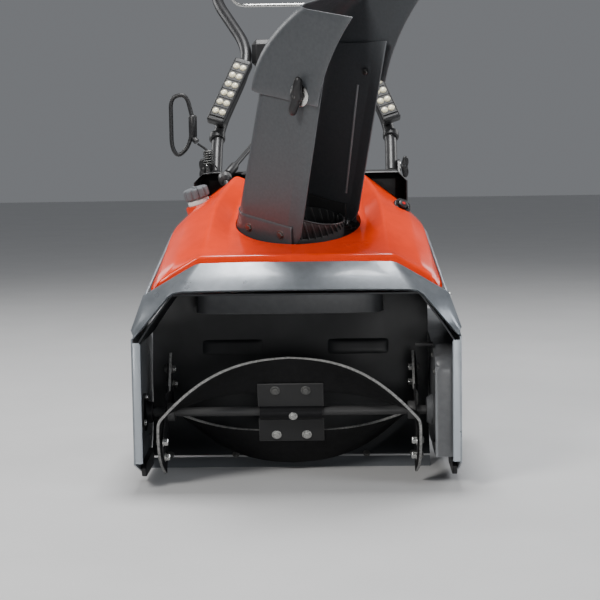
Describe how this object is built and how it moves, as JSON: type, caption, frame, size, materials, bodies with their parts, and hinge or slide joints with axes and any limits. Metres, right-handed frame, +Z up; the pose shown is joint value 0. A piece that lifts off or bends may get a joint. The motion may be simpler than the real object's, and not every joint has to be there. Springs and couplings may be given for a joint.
{
  "type": "snow blower",
  "caption": "Walk-behind single-stage snow blower: curved-paddle rotor in an open housing, swivelling chute with tilting deflector, petrol engine, two wheels and a folding handle.",
  "frame": {"origin": "centre of the machine's box at ground level, chute as in the picture", "axes": "+Y towards the operator's handle, +Z up, +X to the operator's right; the intake faces -Y"},
  "size_m": [0.56, 1.2766, 1.0193],
  "materials": {
    "black_plastic": "satin",
    "black_rubber": "matt",
    "black_tube": "powder coat",
    "bright_steel": "zinc plated",
    "cap_grey": "matt",
    "cast_aluminium": "as cast",
    "chute_grey_paint": "satin",
    "dark_paint": "satin",
    "light_grey_paint": "satin",
    "orange_gloss": "gloss",
    "red_plastic": "gloss",
    "tyre_rubber": "matt",
    "white_plastic": "satin"
  },
  "bodies": {
    "chassis": {"belt_cover": "light_grey_paint", "carburettor": "cast_aluminium", "chassis_pan": "dark_paint", "clutch_cable": "black_plastic", "crankcase": "cast_aluminium", "cylinder": "cast_aluminium", "discharge_throat": "dark_paint", "drive_belt": "black_rubber", "engine_hood": "orange_gloss", "front_trim": "light_grey_paint", "fuel_tank": "white_plastic", "housing_shell": "dark_paint", "lower_handle": "black_tube", "muffler": "bright_steel", "rear_cover": "black_plastic", "recoil_housing": "black_plastic", "rotor_bearing_left": "black_plastic", "scraper_bar": "light_grey_paint", "side_plate_left": "light_grey_paint", "side_plate_right": "light_grey_paint", "skid_shoe_left": "black_plastic", "skid_shoe_right": "black_plastic", "starter_rope": "black_plastic"},
    "rotor": {"rotor_shaft": "dark_paint", "rotor_hub": "dark_paint", "rotor_end_plate_left": "dark_paint", "rotor_end_plate_right": "dark_paint", "rotor_paddle_a": "black_rubber", "rotor_paddle_b": "black_rubber", "rotor_pulley": "cast_aluminium"},
    "engine_shaft": {"crankshaft": "bright_steel", "flywheel": "cast_aluminium", "crank_pulley": "bright_steel"},
    "idler_arm": {"idler_arm": "bright_steel"},
    "idler_pulley": {"idler_pulley": "cast_aluminium"},
    "wheel_left": {"wheel_rim_left": "white_plastic", "tyre_left": "tyre_rubber"},
    "wheel_right": {"wheel_rim_right": "white_plastic", "tyre_right": "tyre_rubber"},
    "chute": {"chute_collar": "black_plastic", "chute_channel": "chute_grey_paint"},
    "deflector": {"deflector": "chute_grey_paint"},
    "deflector_knob_near": {"deflector_knob_near": "black_plastic"},
    "deflector_knob_far": {"deflector_knob_far": "black_plastic"},
    "crank_worm": {"crank_worm": "black_plastic"},
    "crank_rod": {"crank_rod": "black_plastic"},
    "handle": {"upper_handle": "black_tube", "dash_panel": "black_plastic", "light_bar_left": "black_plastic", "light_bar_right": "black_plastic"},
    "bail": {"bail_lever": "bright_steel"},
    "fold_knob_left": {"fold_knob_left": "black_plastic"},
    "fold_knob_right": {"fold_knob_right": "black_plastic"},
    "starter_grip": {"starter_grip": "black_plastic"},
    "fuel_cap": {"fuel_cap": "cap_grey"},
    "ignition_key": {"ignition_key": "red_plastic"},
    "choke_knob": {"choke_knob": "black_plastic"},
    "primer_bulb": {"primer_bulb": "red_plastic"},
    "start_button": {"start_button": "black_plastic"}
  },
  "joints": [
    {"name": "rotor_turn", "type": "hinge", "parent": "chassis", "child": "rotor", "pos_m": [-0.014, -0.42336, 0.1165], "axis": [1, 0, 0], "continuous": true},
    {"name": "engine_turn", "type": "hinge", "parent": "chassis", "child": "engine_shaft", "pos_m": [0, -0.14136, 0.228], "axis": [1, 0, 0], "continuous": true},
    {"name": "belt_idler_swing", "type": "hinge", "parent": "chassis", "child": "idler_arm", "pos_m": [0.2575, -0.17536, 0.16], "axis": [-1, 0, 0], "range_deg": [0, 3.6]},
    {"name": "idler_turn", "type": "hinge", "parent": "idler_arm", "child": "idler_pulley", "pos_m": [0.2575, -0.22701, 0.13396], "axis": [1, 0, 0], "continuous": true},
    {"name": "wheel_left_turn", "type": "hinge", "parent": "chassis", "child": "wheel_left", "pos_m": [-0.23, -0.00136, 0.1], "axis": [1, 0, 0], "continuous": true},
    {"name": "wheel_right_turn", "type": "hinge", "parent": "chassis", "child": "wheel_right", "pos_m": [0.23, -0.00136, 0.1], "axis": [1, 0, 0], "continuous": true},
    {"name": "chute_swivel", "type": "hinge", "parent": "chassis", "child": "chute", "pos_m": [0, -0.31136, 0.442], "axis": [0, -0.309, 0.9511], "range_deg": [-145, 45]},
    {"name": "deflector_tilt", "type": "hinge", "parent": "chute", "child": "deflector", "pos_m": [0.07089, -0.45427, 0.69208], "axis": [0.6374, 0.7328, 0.2381], "range_deg": [0, 30]},
    {"name": "deflector_knob_near_turn", "type": "hinge", "parent": "chute", "child": "deflector_knob_near", "pos_m": [0.01158, -0.52246, 0.66992], "axis": [-0.6374, -0.7328, -0.2381], "range_deg": [-360, 0]},
    {"name": "deflector_knob_far_turn", "type": "hinge", "parent": "chute", "child": "deflector_knob_far", "pos_m": [0.1302, -0.38609, 0.71423], "axis": [0.6374, 0.7328, 0.2381], "range_deg": [-360, 0]},
    {"name": "crank_worm_turn", "type": "hinge", "parent": "chassis", "child": "crank_worm", "pos_m": [-0.10931, -0.32289, 0.41512], "axis": [-0.1693, 0.8448, 0.5075], "continuous": true},
    {"name": "crank_rod_turn", "type": "hinge", "parent": "chassis", "child": "crank_rod", "pos_m": [-0.14572, -0.14125, 0.52424], "axis": [0.3669, 0.8076, 0.4618], "continuous": true},
    {"name": "handle_fold", "type": "hinge", "parent": "chassis", "child": "handle", "pos_m": [0, 0.09364, 0.535], "axis": [1, 0, 0], "range_deg": [0, 30]},
    {"name": "bail_squeeze", "type": "hinge", "parent": "handle", "child": "bail", "pos_m": [0, 0.50364, 0.95], "axis": [1, 0, 0], "range_deg": [0, 28], "stiffness_Nm_per_rad": 1.2, "springref_deg": -34.38},
    {"name": "fold_knob_left_turn", "type": "hinge", "parent": "chassis", "child": "fold_knob_left", "pos_m": [-0.1998, 0.09364, 0.535], "axis": [-1, 0, 0], "range_deg": [-360, 0]},
    {"name": "fold_knob_right_turn", "type": "hinge", "parent": "chassis", "child": "fold_knob_right", "pos_m": [0.1998, 0.09364, 0.535], "axis": [1, 0, 0], "range_deg": [-360, 0]},
    {"name": "starter_pull", "type": "slide", "parent": "chassis", "child": "starter_grip", "axis": [-0.0995, 0.8201, 0.5635], "range_m": [0, 0.45], "stiffness_N_per_m": 6, "springref_m": -0.4},
    {"name": "fuel_cap_turn", "type": "hinge", "parent": "chassis", "child": "fuel_cap", "pos_m": [-0.186, -0.22336, 0.47], "axis": [-0.286, -0.0953, 0.9535], "range_deg": [0, 360]},
    {"name": "ignition_key_turn", "type": "hinge", "parent": "chassis", "child": "ignition_key", "pos_m": [-0.06, -0.02136, 0.455], "axis": [0, -1, 0], "range_deg": [0, 60]},
    {"name": "choke_turn", "type": "hinge", "parent": "chassis", "child": "choke_knob", "pos_m": [0.01, -0.02136, 0.455], "axis": [0, -1, 0], "range_deg": [0, 90]},
    {"name": "primer_press", "type": "slide", "parent": "chassis", "child": "primer_bulb", "axis": [0, -1, 0], "range_m": [0, 0.006], "stiffness_N_per_m": 300, "springref_m": -0.001},
    {"name": "start_button_press", "type": "slide", "parent": "chassis", "child": "start_button", "axis": [-0.3511, 0.652, -0.6721], "range_m": [0, 0.004], "stiffness_N_per_m": 400, "springref_m": -0.001}
  ],
  "couplings": [
    {"joint": "engine_turn", "follows": "rotor_turn", "ratio": 3},
    {"joint": "crank_worm_turn", "follows": "chute_swivel", "ratio": -40},
    {"joint": "crank_rod_turn", "follows": "chute_swivel", "ratio": -40},
    {"joint": "belt_idler_swing", "follows": "bail_squeeze", "ratio": 0.12857}
  ]
}
